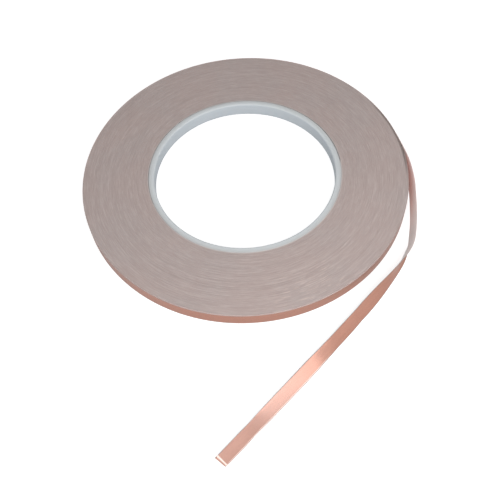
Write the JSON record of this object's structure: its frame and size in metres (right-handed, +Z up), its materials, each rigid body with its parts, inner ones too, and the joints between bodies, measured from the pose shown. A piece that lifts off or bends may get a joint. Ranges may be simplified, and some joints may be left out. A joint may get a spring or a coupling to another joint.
{
  "type": "copper foil tape roll",
  "caption": "Roll of narrow copper foil tape wound on edge round a plastic core, with a free twisted tail whose tip peels from its liner.",
  "frame": {"origin": "centre of the core's bore on the underside, where the roll rests on a flat surface", "axes": "+Z up along the bore; -Y towards the side where the free tail lies; the peel line is on the +X side"},
  "size_m": [0.1383, 0.1896, 0.0067],
  "materials": {
    "core_plastic": "satin",
    "wound_edge": "matte",
    "copper_foil": "satin",
    "adhesive": "gloss",
    "liner": "matte"
  },
  "bodies": {
    "roll": {"core_ring": "core_plastic", "wound_tape": "wound_edge"},
    "outer_turn": {"outer_turn_foil": "copper_foil", "outer_turn_adhesive": "adhesive", "outer_turn_liner": "liner"},
    "tail": {"tail_foil": "copper_foil", "tail_adhesive": "adhesive", "tail_liner": "liner"},
    "foil_tip": {"tip_foil": "copper_foil", "tip_adhesive": "adhesive"}
  },
  "joints": [
    {"name": "unwind", "type": "hinge", "parent": "roll", "child": "outer_turn", "pos_m": [0, 0, 0], "axis": [0, 0, 1], "continuous": true},
    {"name": "tail_swing", "type": "hinge", "parent": "outer_turn", "child": "tail", "pos_m": [0.0664, 0.0154, 0.00317], "axis": [0, 0, 1], "range_deg": [0, 80]},
    {"name": "foil_peel", "type": "hinge", "parent": "tail", "child": "foil_tip", "pos_m": [0.00321, -0.10387, 0.003], "axis": [-0.3791, 0.3995, 0.8347], "range_deg": [0, 150]}
  ]
}
